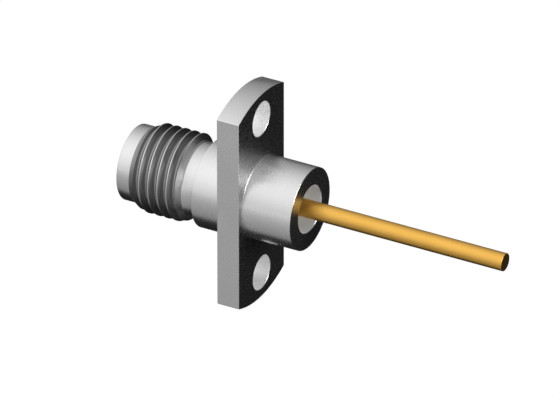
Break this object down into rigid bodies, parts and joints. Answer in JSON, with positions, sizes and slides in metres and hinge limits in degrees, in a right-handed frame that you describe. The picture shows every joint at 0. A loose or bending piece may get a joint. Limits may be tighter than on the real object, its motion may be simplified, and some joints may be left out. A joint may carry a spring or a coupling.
{
  "type": "rf coaxial connector",
  "caption": "Panel-mount coaxial jack: threaded mating end with a slotted socket, flange with rounded ends and milled sides, round rear boss and a long gold solder pin.",
  "frame": {"origin": "where the connector's axis meets the rear face of the flange, which seats on the panel", "axes": "+X along the connector's axis, from the mating end towards the tip of the solder pin; +Z from one flange hole towards the other; +Y across the flange's milled flats"},
  "size_m": [0.0284, 0.0066, 0.016],
  "materials": {
    "stainless_steel": "finely turned and passivated, satin",
    "white_ptfe": "machined, slightly waxy",
    "gold_plate": "gold plating over brass, smooth"
  },
  "bodies": {
    "root": {"body": "stainless_steel", "insulator": "white_ptfe", "centre_contact": "gold_plate"}
  },
  "joints": []
}
